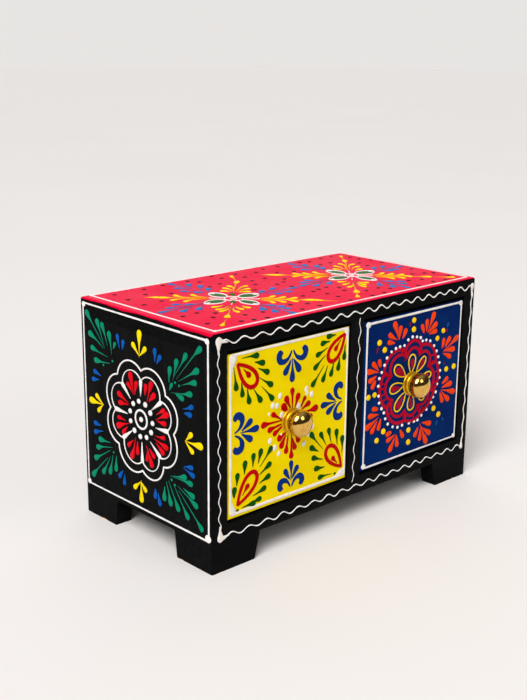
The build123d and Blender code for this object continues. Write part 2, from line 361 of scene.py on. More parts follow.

# Knobs: turned brass, each drawn against its front by a screw and a washer from inside. The ball is
# polished, the flange and the collar are left satin, and the neck is coloured dark brown as painted shade
# and a painted dark reflection.
bright_brass = display(225, 179, 91)
warm_brass = display(207, 158, 73)
satin_brass = display(226, 177, 22)
neck_shade_brown = display(112, 70, 16)
turning_marks = dict(roughness=0.1, rough_spread=0.03, stretch=(300, 4000, 300), depth=0.002 * MM)
knob_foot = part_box("left_drawer_knob")[1][1]
collar_reach = 3.3 * MM
collar_fade = 0.3 * MM
shoulder_reach = 4.5 * MM
neck_shade_fade = 1.9 * MM
satin_roughness = 0.34
satin_metal = 0.75
brass, tree, shader, place = metal("polished_brass", bright_brass, warm_brass, **turning_marks)
outwards = math_node(tree, "SUBTRACT", knob_foot, parts_of(tree, place)[1])
satin = spread(tree, outwards, collar_reach - collar_fade, collar_reach, 1.0, 0.0)
# Painted shade: the neck and the back of the ball go over to a dark brown that stands for shade and a dark
# reflection there.
neck_shade = spread(tree, outwards, shoulder_reach, shoulder_reach + neck_shade_fade, 1.0, 0.0)
neck_shade = math_node(tree, "SUBTRACT", neck_shade, satin)
bright = shader.inputs["Base Color"].links[0].from_socket
bright = mix_colour(tree, satin, bright, satin_brass)
tree.links.new(mix_colour(tree, neck_shade, bright, neck_shade_brown), shader.inputs["Base Color"])
polish = shader.inputs["Roughness"].links[0].from_socket
dullness = math_node(tree, "MAXIMUM", satin, neck_shade)
tree.links.new(spread(tree, dullness, 0.0, 1.0, polish, satin_roughness), shader.inputs["Roughness"])
tree.links.new(spread(tree, satin, 0.0, 1.0, 1.0, satin_metal), shader.inputs["Metallic"])
for drawer in drawers:
    dress(brass, f"{drawer}_knob")
    dress(screw_steel, f"{drawer}_knob_screw", f"{drawer}_knob_washer")

# Relief paint on the left side: thick acrylic laid on with a cone, so that each line, dot and dab
# stands proud of the black. A white border holds a flower in the middle and four green sprays.
rng = np.random.default_rng(11)
crown_across = np.array([-1.0, -0.86, -0.42, 0.42, 0.86, 1.0])
crown_lift = np.array([0.0, 0.6, 0.96, 0.96, 0.6, 0.0])
edge_sink = 0.05
dab_height = 0.38
line_height = 0.32
dot_height = 0.5
pad_height = 0.34
crown_power = 0.6
dab_size_spread = 0.06
dab_head_turns = np.radians([7, 34, 62, 90])
dab_step_radii = np.array([0.6, 1.2, 1.9, 2.7, 3.6])
dab_step_shares = np.array([0.14, 0.3, 0.46, 0.64, 0.82])
dab_end_share = 0.4
dot_size_spread = 0.08
dot_lean_spread = 8.0
dot_turns = np.radians([9, 36, 63, 90, 117, 144, 171])
line_waver_length = 17.0
line_slow_share = 0.06
line_quick_share = 0.04
line_end_share = 0.3
lobe_stations = 14


def bead_grid(path, half_width, height, sink, looped):
    """Low ridges of paint, all with as many stations along their paths. At a station the outline runs
    from edge to edge over a rounded crown: sideways it is the half width times a share, outwards it is
    the height times a share, and the two edges dip under the painted face by sink."""
    ahead = np.roll(path, -1, axis=1)
    behind = np.roll(path, 1, axis=1)
    if not looped:
        ahead[:, -1] = path[:, -1]
        behind[:, 0] = path[:, 0]
    along = ahead - behind
    along /= np.linalg.norm(along, axis=2, keepdims=True)
    left = np.stack([-along[..., 1], along[..., 0]], axis=-1)
    flat = path[:, :, None, :] + left[:, :, None, :] * (half_width[:, :, None] * crown_across)[..., None]
    out = height[:, :, None] * crown_lift - sink * (crown_lift == 0)
    return np.concatenate([flat, out[..., None]], axis=-1)


def bead_faces(count, stations, looped, first):
    """Faces from station to station round every ridge, all turned outwards, with the open ends capped."""
    around = len(crown_across)
    spans = stations if looped else stations - 1
    stroke, ring, edge = np.meshgrid(np.arange(count), np.arange(spans), np.arange(around), indexing="ij")
    start = first + stroke * stations * around
    near = start + ring * around
    far = start + (ring + 1) % stations * around
    turned = (edge + 1) % around
    corners = np.stack([near + edge, far + edge, far + turned, near + turned], axis=-1)
    faces = corners.reshape(-1, 4).tolist()
    if not looped:
        ends = first + np.arange(count)[:, None] * stations * around + np.arange(around)
        faces += ends.tolist() + (ends + (stations - 1) * around)[:, ::-1].tolist()
    return faces


def paint(name, face, strokes, material, sink=edge_sink):
    """One piece of relief paint: strokes in millimetres on a face, which has a corner, axes and a body."""
    corner, axes, body = face
    grids, bodies, faces, first = [], [], [], 0
    for path, half_width, height, looped in strokes:
        grid = bead_grid(path, half_width, height, sink, looped)
        faces += bead_faces(grid.shape[0], grid.shape[1], looped, first)
        grids.append(grid.reshape(-1, 3))
        bodies.append(np.repeat(height / height.max(), len(crown_across)))
        first += len(grids[-1])
    if np.linalg.det(axes) < 0:
        faces = [corners[::-1] for corners in faces]
    mesh = bpy.data.meshes.new(name)
    mesh.from_pydata((corner + np.concatenate(grids) @ axes * MM).tolist(), [], faces)
    mesh.shade_smooth()
    mesh.attributes.new("body", "FLOAT", "POINT").data.foreach_set("value", np.concatenate(bodies))
    mesh.materials.append(material)
    piece = bpy.data.objects.new(name, mesh)
    bpy.context.scene.collection.objects.link(piece)
    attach(piece, body)


def dabs(rows, radius, tail=0.24, fall=1.9, bend=0.05, height=dab_height, curl=0.0):
    """Comma strokes, a row for each: head, then tail. The line between them is curled sideways by a share
    of its length, and bends a little more by chance. The half width follows a circle round the head,
    then falls to the tail as a bell curve of the distance, so many head radii wide. Radius and curl
    are one for all or one for each."""
    rows = np.asarray(rows, dtype=float)
    head, end = rows[:, None, :2], rows[:, None, 2:]
    run = end - head
    length = np.linalg.norm(run, axis=2)
    size = (radius * rng.uniform(1 - dab_size_spread, 1 + dab_size_spread, len(rows)))[:, None]
    steps = np.minimum(size * dab_step_radii, length * dab_step_shares)
    distance = np.concatenate([np.zeros((len(rows), len(dab_head_turns))), steps, length], axis=1)
    way = (distance / length)[..., None]
    side = np.stack([-run[..., 1], run[..., 0]], axis=-1)
    sideways = curl + bend * rng.uniform(-1.0, 1.0, len(rows))
    control = (head + end) / 2 + side * sideways[:, None, None]
    path = head * (1 - way) ** 2 + 2 * control * way * (1 - way) + end * way**2
    aim = (control - head) / np.linalg.norm(control - head, axis=2, keepdims=True)
    setback = np.concatenate([np.cos(dab_head_turns), np.zeros(len(dab_step_radii) + 1)])
    path = path - aim * (size * setback)[..., None]
    rounding = np.concatenate([np.sin(dab_head_turns), np.ones(len(dab_step_radii)), [dab_end_share]])
    half_width = rounding * (tail + (size - tail) * np.exp(-((distance / (fall * size)) ** 2)))
    return path, half_width, height * (half_width / size) ** crown_power, False


def dots(places, radius, stretch=1.0, lean=0.0, height=dot_height):
    """Domes of paint: a short path through each place, whose half width follows a circle, or an
    ellipse where it is stretched along the lean, in degrees from across. The radius is one for
    all or one for each."""
    places = np.asarray(places, dtype=float)[:, None, :]
    size = (radius * rng.uniform(1 - dot_size_spread, 1 + dot_size_spread, len(places)))[:, None]
    angle = np.radians(lean + dot_lean_spread * rng.uniform(-1.0, 1.0, len(places)))[:, None]
    along = -np.cos(dot_turns) * size * stretch
    path = places + np.stack([np.cos(angle) * along, np.sin(angle) * along], axis=-1)
    half_width = np.sin(dot_turns) * size
    return path, half_width, height * np.sin(dot_turns) ** crown_power * np.ones_like(half_width), False


def line(points, half_width, looped=False, step=0.8, soften=1, height=line_height):
    """A long ridge through a few points: the way between them is divided evenly, its corners are softened
    by a running mean, and the half width, one value or one for each point, wavers slowly by a tenth.
    An open ridge is rounded off at its two ends."""
    points = np.asarray(points, dtype=float)
    corners = np.concatenate([points, points[:1]]) if looped else points
    reach = np.concatenate([[0.0], np.cumsum(np.linalg.norm(np.diff(corners, axis=0), axis=1))])
    count = max(int(reach[-1] / step), 6)
    at = np.linspace(0.0, reach[-1], count, endpoint=not looped)
    path = np.stack([np.interp(at, reach, corners[:, part]) for part in range(2)], axis=-1)
    padding = dict(mode="wrap") if looped else dict(mode="reflect", reflect_type="odd")
    padded = np.pad(path, ((soften, soften), (0, 0)), **padding)
    kernel = np.ones(2 * soften + 1) / (2 * soften + 1)
    path = np.stack([np.convolve(padded[:, part], kernel, mode="valid") for part in range(2)], axis=-1)
    widths = np.broadcast_to(half_width, (len(points),))
    widths = np.concatenate([widths, widths[:1]]) if looped else widths
    phase = rng.uniform(0.0, 6.0, 2)
    turns = 2 * np.pi * np.arange(count) / count
    cycles = max(round(reach[-1] / line_waver_length), 1)
    slow = line_slow_share * np.sin(turns * cycles + phase[0])
    quick = line_quick_share * np.sin(turns * (3 * cycles + 1) + phase[1])
    half = np.interp(at, reach, widths) * (1 + slow + quick)
    if not looped:
        half = half * np.clip(np.minimum(at, reach[-1] - at) / half + line_end_share, 0.0, 1.0)
    return path[None], half[None], height * np.ones((1, count)), looped


def scallop(centre, valley_radii, bulge, valley_angles, valley_width, apex_width, height=line_height):
    """A loop of round lobes about a centre. Each lobe is an arc of the circle through its two valleys and
    its apex, which lies further out by the factor bulge, one for all or one for each; that circle's
    middle is on the lobe's own axis. Radius and angle go evenly from valley to valley, and the half
    width goes from valley to apex and back as a sine."""
    lobes = len(valley_angles)
    along = np.arange(lobes * lobe_stations) / lobe_stations
    bulges = np.repeat(np.broadcast_to(bulge, lobes), lobe_stations)
    half = np.pi / lobes
    offset = (bulges**2 - 1) / (2 * (bulges - np.cos(half)))
    phase = (along % 1 - 0.5) * 2 * half
    radius = offset * np.cos(phase) + np.sqrt((bulges - offset) ** 2 - (offset * np.sin(phase)) ** 2)
    stops = np.arange(lobes + 1)
    radius = radius * np.interp(along, stops, [*valley_radii, valley_radii[0]])
    angle = np.radians(np.interp(along, stops, [*valley_angles, valley_angles[0] + 360]))
    loop = np.asarray(centre) + radius[:, None] * np.stack([np.cos(angle), np.sin(angle)], axis=-1)
    half_width = valley_width + (apex_width - valley_width) * np.sin(np.pi * (along % 1))
    return loop[None], half_width[None], np.full((1, len(loop)), height), True


relief_gloss = 0.4
relief_specular = 0.035
relief_ripples = (420, 420, 420)
relief_depth = 0.08 * MM
pooled_share = 0.9
thin_bodies = (0.4, 0.75)


def relief_paint(name, *tone, thin=None):
    """Thick glossy acrylic: the colour pools darker in places, and the skin has faint ripples. Where a
    stroke has little body left, the ground shows through and gives it its thin colour, if it has one."""
    material, tree, shader, place = new_material(name, relief_gloss, relief_specular)
    pooled_and_end_shade = display(*(pooled_share * np.array(tone)))
    sockets = {"Place": place, "Streaks": relief_ripples, "Gloss": relief_gloss}
    coat = place_group(tree, brushed_paint, {**sockets, "Colour": display(*tone), "Thin Colour": pooled_and_end_shade})
    colour = coat["Colour"]
    if thin:
        body = add(tree, "ShaderNodeAttribute", attribute_name="body").outputs["Fac"]
        colour = mix_colour(tree, spread(tree, body, *thin_bodies), display(*thin), colour)
    tree.links.new(colour, shader.inputs["Base Color"])
    tree.links.new(coat["Roughness"], shader.inputs["Roughness"])
    give_bump(tree, shader, coat["Height"], relief_depth, coat_strength)
    return material


def runs(rows):
    """The way from tail to head of each comma stroke, across and up."""
    rows = np.asarray(rows, dtype=float)
    return rows[:, :2] - rows[:, 2:]


def radii_by_length(rows, share, least, most):
    """Head radii that are a share of the strokes' lengths, held between two limits."""
    return np.clip(share * np.linalg.norm(runs(rows), axis=1), least, most)


white_relief = relief_paint("relief_white", 248, 244, 241)
dusty_white_relief = relief_paint("relief_white_dusty", 236, 229, 221)
side_green = relief_paint("relief_side_green", 0, 136, 102)
side_red = relief_paint("relief_side_red", 228, 2, 24)
side_yellow = relief_paint("relief_side_yellow", 252, 220, 0)
side_blue = relief_paint("relief_side_blue", 2, 86, 174)

flower_centre = (42.7, 54.6)
lobe_valleys = [-48.8, -2.1, 40.5, 88.6, 134.6, 179.7, 222.8, 270.8]
outer_valleys = [22.5, 21.8, 22.0, 21.3, 22.9, 21.7, 22.2, 22.7]
inner_valleys = [17.8, 17.3, 17.1, 17.0, 17.9, 17.8, 16.8, 18.4]
outer_bulge = 1.155
outer_widths = (0.43, 0.37)
inner_bulge = 1.225
inner_widths = (0.38, 0.23)
eye_radius = 4.0
eye_widths = (0.5, 0.5)
ring_count = 11
ring_radius = 7.8
ring_lean = 2.0
ring_turns = np.radians(ring_lean + 360 / ring_count * np.arange(ring_count))
ring_around = np.stack([np.cos(ring_turns), np.sin(ring_turns)], axis=-1)
ring_places = np.asarray(flower_centre) + ring_radius * ring_around
side_border = [(2.4, 14.5), (86.1, 14.2), (86.2, 97.3), (2.4, 97.8)]
side_border_widths = [0.36, 0.47, 0.48, 0.38]
side_pads = np.array([(2.8, 97.2, 1.2), (85.6, 96.9, 1.4), (2.7, 15.1, 1.4), (85.6, 15.2, 1.7)])
spokes = [
    (42.9, 71.2, 42.6, 64.8), (56.0, 65.2, 49.3, 60.1), (60.0, 53.9, 52.5, 53.5), (54.9, 41.6, 48.6, 46.4),
    (42.9, 36.3, 42.8, 44.6), (30.1, 43.5, 36.0, 47.9), (25.0, 55.0, 33.0, 54.8), (30.1, 67.2, 35.6, 62.0),
]
petal_red = [
    (35.8, 72.4, 38.2, 64.2), (39.7, 69.6, 38.6, 64.6), (34.0, 68.2, 37.6, 64.6), (49.9, 71.6, 46.6, 62.8),
    (46.2, 69.9, 45.6, 65.8), (51.7, 67.2, 48.2, 63.8), (60.0, 61.0, 52.3, 56.8), (57.9, 62.4, 53.0, 59.2),
    (58.6, 56.8, 53.4, 56.8), (57.9, 50.5, 51.7, 49.9), (59.4, 46.7, 51.0, 48.5), (57.1, 43.9, 52.4, 47.2),
    (49.4, 36.4, 45.7, 44.2), (50.9, 40.5, 47.7, 43.3), (46.3, 37.9, 46.6, 42.6), (35.7, 36.4, 38.4, 45.4),
    (33.5, 40.9, 36.9, 44.0), (39.7, 39.2, 39.7, 44.2), (26.3, 47.8, 34.3, 50.7), (26.8, 51.6, 31.8, 51.3),
    (29.9, 45.7, 32.9, 49.0), (27.3, 62.3, 34.1, 59.4), (27.9, 58.5, 34.0, 58.9),
]
petal_radii = [
    1.6, 1.2, 1.1, 1.5, 1.15, 1.4, 1.5, 1.1, 1.25, 1.05, 1.45, 1.2, 1.45, 1.15, 1.0, 1.55, 1.15, 1.2, 1.45,
    1.05, 1.1, 1.4, 1.3,
]
side_sprays = [
    (5.1, 93.7, 17.8, 80.4), (7.1, 84.8, 16.6, 80.2), (8.4, 78.7, 19.6, 76.8), (10.9, 73.6, 21.2, 74.3),
    (12.6, 91.2, 17.2, 81.8), (16.2, 90.2, 19.8, 81.6), (21.2, 87.2, 22.7, 78.4), (25.3, 83.8, 24.0, 81.4),
    (81.3, 93.0, 66.6, 77.8), (72.6, 88.6, 65.0, 78.4), (66.8, 84.9, 64.2, 76.4), (62.5, 80.9, 61.8, 75.0),
    (79.4, 83.9, 67.8, 77.0), (78.0, 78.7, 69.6, 75.8), (75.2, 73.4, 62.9, 71.2), (70.1, 70.5, 66.0, 71.4),
    (63.5, 74.6, 62.0, 72.0), (6.2, 19.4, 17.4, 30.4), (8.4, 27.9, 19.8, 34.6), (10.2, 33.4, 21.2, 36.2),
    (12.3, 37.6, 20.1, 38.1), (14.1, 22.9, 19.4, 31.4), (19.2, 24.4, 21.5, 32.8), (23.7, 27.0, 24.0, 33.2),
    (81.6, 18.2, 67.2, 30.4), (72.8, 20.5, 63.8, 32.2), (66.7, 22.2, 60.6, 32.6), (61.8, 23.1, 59.0, 31.8),
    (57.6, 24.0, 57.9, 29.4), (78.2, 27.1, 66.6, 32.2), (76.2, 30.6, 70.1, 32.3), (75.0, 35.6, 61.8, 35.2),
    (71.2, 37.3, 63.2, 35.6),
]
spray_radii = radii_by_length(side_sprays, share=0.32, least=0.7, most=1.42)
spray_specks = [
    (23.2, 75.8), (16.4, 72.6), (65.7, 76.0), (68.3, 75.3), (22.1, 34.2), (62.6, 33.7), (64.8, 32.0),
]
trefoil_heads = [
    (42.6, 91.6, 42.3, 81.6), (81.2, 53.3, 71.6, 53.1), (41.7, 18.4, 41.5, 27.0), (6.4, 54.4, 15.6, 54.4),
]
trefoil_sides = [
    (38.2, 86.1, 42.0, 82.2), (46.2, 85.8, 42.5, 82.2), (75.4, 56.6, 72.0, 53.3), (76.1, 49.7, 72.0, 52.8),
    (37.3, 22.8, 41.2, 26.2), (44.6, 23.5, 41.8, 26.2), (10.7, 57.4, 15.2, 54.6), (11.8, 51.0, 15.2, 54.2),
]
blue_pairs = [
    (27.3, 87.4, 28.6, 82.3), (31.2, 85.7, 30.6, 82.3), (52.9, 86.5, 52.6, 81.6), (56.1, 84.4, 54.0, 81.2),
    (76.0, 68.3, 70.4, 66.2), (75.0, 64.8, 71.2, 64.7), (75.6, 42.7, 70.6, 41.8), (76.5, 39.6, 70.4, 41.2),
    (51.5, 22.9, 51.6, 26.4), (54.5, 20.6, 53.3, 25.1), (26.3, 24.6, 28.8, 27.8), (29.6, 22.2, 29.8, 26.4),
    (8.9, 44.4, 13.2, 44.2), (8.8, 40.2, 14.8, 42.0), (9.8, 68.3, 14.3, 67.1), (8.4, 64.5, 12.8, 65.2),
]


def paint_side(hand, wall, outwards):
    """All the relief paint of one end of the box. Its wall stands at a place across, and faces left or
    right as outwards is -1 or 1. Places are measured from the rear lower corner, forwards and up."""
    axes = np.array([(0, -1, 0), (0, 0, 1), (outwards, 0, 0)], dtype=float)
    face = (np.array([wall, case_high[1], 0.0]), axes, "carcass")
    border = [
        line(side_border, side_border_widths, looped=True),
        dots(side_pads[:, :2], side_pads[:, 2], height=pad_height),
    ]
    paint(f"{hand}_side_border", face, border, white_relief)
    flower = [
        scallop(flower_centre, outer_valleys, outer_bulge, lobe_valleys, *outer_widths),
        scallop(flower_centre, inner_valleys, inner_bulge, lobe_valleys, *inner_widths),
        scallop(flower_centre, [eye_radius] * 4, 1.0, [0, 90, 180, 270], *eye_widths),
        dabs(spokes, radius=1.1, tail=0.44, fall=3.0, bend=0.02),
        dots(ring_places, radius=1.22),
        dots([flower_centre], radius=1.3),
    ]
    paint(f"{hand}_side_flower", face, flower, white_relief)
    petals = [dabs(petal_red, petal_radii, tail=0.24, fall=2.3)]
    paint(f"{hand}_side_petals", face, petals, side_red)
    sprays = [
        dabs(side_sprays, spray_radii, tail=0.25, fall=2.0),
        dots(spray_specks, radius=0.6, height=0.25),
    ]
    paint(f"{hand}_side_sprays", face, sprays, side_green)
    trefoils = [
        dabs(trefoil_heads, radius=1.6, tail=0.32, fall=2.1),
        dabs(trefoil_sides, radius=1.22, tail=0.32, fall=1.9),
    ]
    paint(f"{hand}_side_trefoils", face, trefoils, side_yellow)
    drops = [dabs(blue_pairs, radius=1.22, tail=0.26, fall=1.9)]
    paint(f"{hand}_side_drops", face, drops, side_blue)


paint_side("left", case_low[0], -1)

# Relief paint on the right side: the same flower and sprays as on the left, laid on by the same hand.
# They are mirrored, so that what lies near the front on one end lies near it on the other.
paint_side("right", case_high[0], 1)

# Relief paint on the front: one thin white wavy line runs round the black frame and another
# down the divider; thick blobs fill the four corners where the line turns.
front_axes = np.array([(1, 0, 0), (0, 0, 1), (0, -1, 0)], dtype=float)
front_face = (np.array([case_low[0], case_low[1], 0.0]), front_axes, "carcass")
wave_step = 0.55
swell_length = 29.0
swell_share = 0.18
crest_share = 0.14
ripple_length = 3.1
ripple_share = 0.08
wave_end_length = 0.6
wave_end_share = 0.35
wave_height_share = 1.1


def wave(start, end, swing, length, crest, half_width, quicken=0.0):
    """A wavy line from start to end: it swings sideways as a cosine of the way from its first crest, which
    is given. The waves come quicker along the line by the square of the way, swell and shrink
    slowly, and are thicker at their crests."""
    start, end = np.asarray(start, dtype=float), np.asarray(end, dtype=float)
    run = np.linalg.norm(end - start)
    aim = (end - start) / run
    side = np.array([-aim[1], aim[0]])
    at = np.linspace(0.0, run, int(run / wave_step))
    turns = 2 * np.pi * ((at - crest) / length + quicken * ((at - crest) / run) ** 2)
    swings = swing * (1 + swell_share * np.sin(2 * np.pi * at / swell_length + 2 * crest))
    path = start + at[:, None] * aim + (swings * np.cos(turns))[:, None] * side
    waver = 1 + crest_share * np.cos(2 * turns) + ripple_share * np.sin(at / ripple_length + crest)
    rounding = np.clip(np.minimum(at, run - at) / wave_end_length + wave_end_share, 0.0, 1.0)
    half = half_width * waver * rounding
    return path[None], half[None], np.minimum(line_height, wave_height_share * half)[None], False


frame_waves = [
    wave((3.6, 95.9), (162.2, 95.7), swing=0.92, length=9.76, crest=3.4, half_width=0.27, quicken=2.36),
    wave((4.0, 15.1), (161.4, 16.2), swing=0.85, length=9.8, crest=6.4, half_width=0.25, quicken=2.3),
    wave((3.5, 96.5), (4.1, 15.0), swing=0.56, length=7.15, crest=5.0, half_width=0.18),
    wave((162.6, 96.0), (161.2, 16.0), swing=0.4, length=8.8, crest=4.0, half_width=0.24),
    wave((84.0, 93.2), (82.1, 18.0), swing=0.5, length=8.25, crest=6.0, half_width=0.16),
]
frame_blobs = [
    (3.8, 96.8, 3.6, 91.0), (4.0, 96.9, 8.6, 95.8), (162.6, 96.3, 162.4, 91.0), (4.4, 14.8, 4.2, 20.2),
    (4.6, 14.6, 9.4, 15.4), (160.9, 15.5, 161.1, 20.4),
]
blob_radii = [1.75, 1.35, 1.35, 1.75, 1.35, 1.25]
blob_strokes = [dabs(frame_blobs, blob_radii, tail=0.4, fall=1.5, bend=0.0, height=pad_height)]
paint("front_frame_wave", front_face, frame_waves, white_relief)
paint("front_frame_blobs", front_face, blob_strokes, dusty_white_relief)

# Relief paint on the top: a white border, and two four-petalled flowers side by side. Yellow sprays
# run to the corners of each, blue ones up, down and sideways, with black specks strewn between.
top_axes = np.array([(1, 0, 0), (0, 1, 0), (0, 0, 1)], dtype=float)
top_face = (np.array([case_low[0], case_low[1], case_high[2]]), top_axes, "carcass")
top_yellow = relief_paint("relief_top_yellow", 255, 228, 0, thin=(250, 160, 18))
top_blue = relief_paint("relief_top_blue", 20, 122, 196, thin=(138, 78, 140))
top_green = relief_paint("relief_top_green", 58, 108, 30)
speck_black = relief_paint("relief_speck_black", 30, 10, 14)
oval_stations = 32


def ovals(rows, half_width, height=line_height, pointed=1.0):
    """Closed oval lines, a row for each: middle, half length across and half length up. Across and up go
    as the cosine and the sine of the turn, raised to the power pointed with their signs kept."""
    rows = np.asarray(rows, dtype=float)
    turn = 2 * np.pi * np.arange(oval_stations) / oval_stations
    circle = np.stack([np.cos(turn), np.sin(turn)], axis=-1)
    path = rows[:, None, :2] + rows[:, None, 2:] * np.sign(circle) * np.abs(circle) ** pointed
    return path, np.full(path.shape[:2], half_width), np.full(path.shape[:2], height), True


top_border = [(4.4, 2.9), (162.4, 2.9), (162.4, 84.0), (162.4, 86.4), (4.4, 86.4), (4.4, 84.0)]
top_border_widths = [0.48, 0.48, 0.48, 0.75, 0.75, 0.48]
top_pads = dots([(4.9, 3.4), (4.8, 85.9)], radius=1.1, stretch=1.15, lean=45, height=0.3)
reading_middle = 83.0
near_shift = (2.6, -0.3)
far_shift = (0.3, -1.4)


def settled(rows):
    """Rows of places, or of heads and tails, moved with the flower on whose half of the top they lie."""
    rows = np.asarray(rows, dtype=float)
    shift = np.where(rows[:, :1] < reading_middle, near_shift, far_shift)
    return rows + np.tile(shift, (1, rows.shape[1] // 2))


def settled_ovals(rows):
    """Rows of ovals, whose middles are moved in the same way and whose half lengths are kept."""
    rows = np.asarray(rows, dtype=float)
    return np.concatenate([settled(rows[:, :2]), rows[:, 2:]], axis=1)


top_petals = [
    (44.0, 50.6, 3.3, 5.4), (34.6, 41.6, 5.6, 3.4), (53.4, 41.2, 5.4, 3.7), (45.1, 31.5, 3.1, 5.6),
    (122.5, 52.8, 3.3, 6.1), (113.8, 42.7, 6.0, 3.6), (132.4, 43.4, 6.0, 3.8), (123.0, 33.6, 3.1, 5.9),
]
petal_tips = [
    (44.0, 54.9, 44.0, 51.6), (30.2, 41.6, 33.2, 41.6), (57.6, 41.2, 54.8, 41.2), (45.1, 27.1, 45.1, 30.2),
    (122.5, 57.7, 122.5, 54.4), (109.0, 42.7, 112.4, 42.7), (137.2, 43.4, 133.8, 43.4),
    (123.0, 28.9, 123.0, 32.2),
]
flower_hearts = [
    (44.6, 41.0, 3.9, 4.1), (44.7, 41.0, 1.3, 1.4), (123.0, 43.0, 3.2, 3.4), (123.0, 43.0, 0.9, 1.0),
]
heart_flicks = [
    (37.4, 48.2, 41.2, 44.6), (37.0, 33.6, 41.0, 37.2), (52.6, 33.4, 48.2, 37.4),
    (129.0, 50.6, 125.4, 46.4), (116.6, 50.0, 120.2, 46.0), (115.6, 36.0, 120.2, 40.2),
    (130.2, 36.4, 125.8, 40.2),
]
buds = [
    (69.2, 66.6, 53.5, 51.2), (22.5, 63.0, 38.2, 48.0), (20.7, 17.7, 35.2, 31.6), (68.6, 17.3, 52.0, 34.0),
    (147.7, 70.8, 129.6, 51.8), (95.9, 67.2, 115.8, 49.8), (97.3, 16.3, 112.2, 32.2),
    (148.6, 16.8, 129.4, 35.4),
]
bud_flicks = [
    (75.4, 77.4, 70.4, 68.4), (21.4, 64.2, 17.2, 68.4), (10.2, 8.6, 19.0, 16.2), (69.8, 16.0, 75.4, 8.2),
    (155.2, 80.4, 148.8, 72.4), (94.8, 68.4, 91.0, 72.6), (90.6, 9.6, 96.4, 15.4),
    (156.4, 8.6, 149.6, 15.8),
]
yellow_dabs = [
    (59.9, 61.8, 54.6, 52.6), (55.5, 59.7, 53.4, 52.2), (50.8, 55.8, 52.4, 52.4), (66.2, 56.7, 54.4, 50.6),
    (63.0, 51.6, 55.4, 49.8), (59.0, 47.0, 54.6, 49.0), (29.5, 62.3, 37.4, 49.4), (36.0, 58.4, 38.4, 49.4),
    (22.9, 56.1, 36.8, 48.4), (25.6, 50.4, 36.4, 47.6), (27.6, 34.6, 34.0, 35.2), (26.1, 30.1, 34.6, 32.8),
    (25.2, 26.8, 34.2, 31.4), (29.8, 21.3, 35.4, 30.4), (34.3, 23.9, 36.4, 30.2), (38.2, 24.0, 38.6, 28.6),
    (52.5, 24.2, 51.2, 31.6), (56.6, 21.9, 52.2, 31.8), (61.5, 19.6, 52.8, 32.2), (61.0, 33.2, 53.4, 34.4),
    (63.2, 29.0, 53.4, 33.6), (65.8, 24.6, 53.4, 33.0), (139.5, 66.6, 131.0, 54.0),
    (133.2, 63.8, 130.4, 54.4), (127.7, 59.0, 129.0, 54.8), (143.8, 61.3, 133.0, 53.6),
    (141.2, 55.4, 132.2, 51.6), (137.5, 50.4, 133.0, 49.6), (105.0, 63.8, 115.0, 51.2),
    (109.0, 61.2, 116.0, 51.4), (114.4, 59.8, 117.2, 51.8), (100.2, 59.0, 113.8, 50.2),
    (102.4, 54.0, 113.4, 49.0), (106.0, 49.9, 113.4, 47.6), (107.2, 36.4, 111.4, 35.4),
    (104.6, 30.9, 111.8, 34.4), (102.4, 25.8, 110.8, 31.6), (108.6, 21.6, 112.2, 30.4),
    (111.8, 24.5, 113.2, 30.6), (115.8, 26.8, 114.2, 31.0), (132.3, 25.0, 129.2, 33.4),
    (136.8, 22.4, 130.0, 33.6), (142.2, 22.8, 130.6, 33.8), (143.0, 28.6, 131.0, 34.6),
    (140.4, 32.7, 131.2, 35.6), (138.0, 36.8, 131.2, 37.0),
]
blue_stems = [
    (42.7, 82.8, 43.6, 58.8), (5.2, 41.5, 29.4, 42.0), (80.6, 39.8, 59.4, 40.6), (45.7, 4.6, 45.5, 25.2),
    (120.6, 82.6, 121.8, 60.4), (87.6, 41.7, 107.2, 42.2), (158.0, 42.3, 139.2, 42.4),
    (122.0, 7.5, 122.7, 26.6),
]
blue_dabs = [
    (48.2, 76.2, 44.3, 69.6), (50.4, 70.2, 44.6, 63.4), (49.2, 63.4, 44.8, 58.2), (39.2, 73.6, 42.6, 68.6),
    (37.4, 67.0, 41.8, 62.0), (40.6, 61.2, 43.2, 58.8), (18.1, 48.8, 25.4, 43.6), (12.2, 45.4, 21.0, 42.6),
    (22.6, 45.0, 29.0, 42.6), (13.4, 37.1, 21.4, 41.0), (20.6, 35.5, 28.0, 41.0), (72.2, 45.3, 63.8, 41.2),
    (64.2, 44.1, 60.2, 41.4), (66.8, 35.2, 61.6, 39.6), (73.0, 35.3, 66.0, 39.6), (40.6, 17.8, 45.0, 24.6),
    (41.7, 11.6, 45.2, 19.0), (50.7, 16.6, 46.2, 23.6), (49.7, 12.3, 46.2, 18.2), (48.6, 20.6, 46.0, 25.2),
    (116.4, 75.2, 120.8, 69.0), (115.0, 68.0, 121.0, 62.6), (124.2, 76.2, 121.6, 70.4),
    (127.0, 70.3, 122.0, 64.2), (125.6, 65.0, 122.0, 60.2), (92.8, 46.2, 100.0, 42.8),
    (97.8, 48.6, 104.0, 43.2), (92.8, 37.6, 100.4, 41.2), (100.8, 36.8, 106.0, 41.0),
    (145.0, 48.4, 140.6, 43.8), (150.8, 47.8, 145.6, 43.6), (146.4, 38.3, 141.6, 41.4),
    (150.5, 38.6, 146.0, 41.6), (116.5, 19.6, 121.4, 25.0), (118.2, 12.8, 121.8, 19.4),
    (126.6, 21.4, 123.2, 26.0), (130.4, 17.8, 124.0, 24.0), (127.3, 13.8, 123.0, 19.4),
]
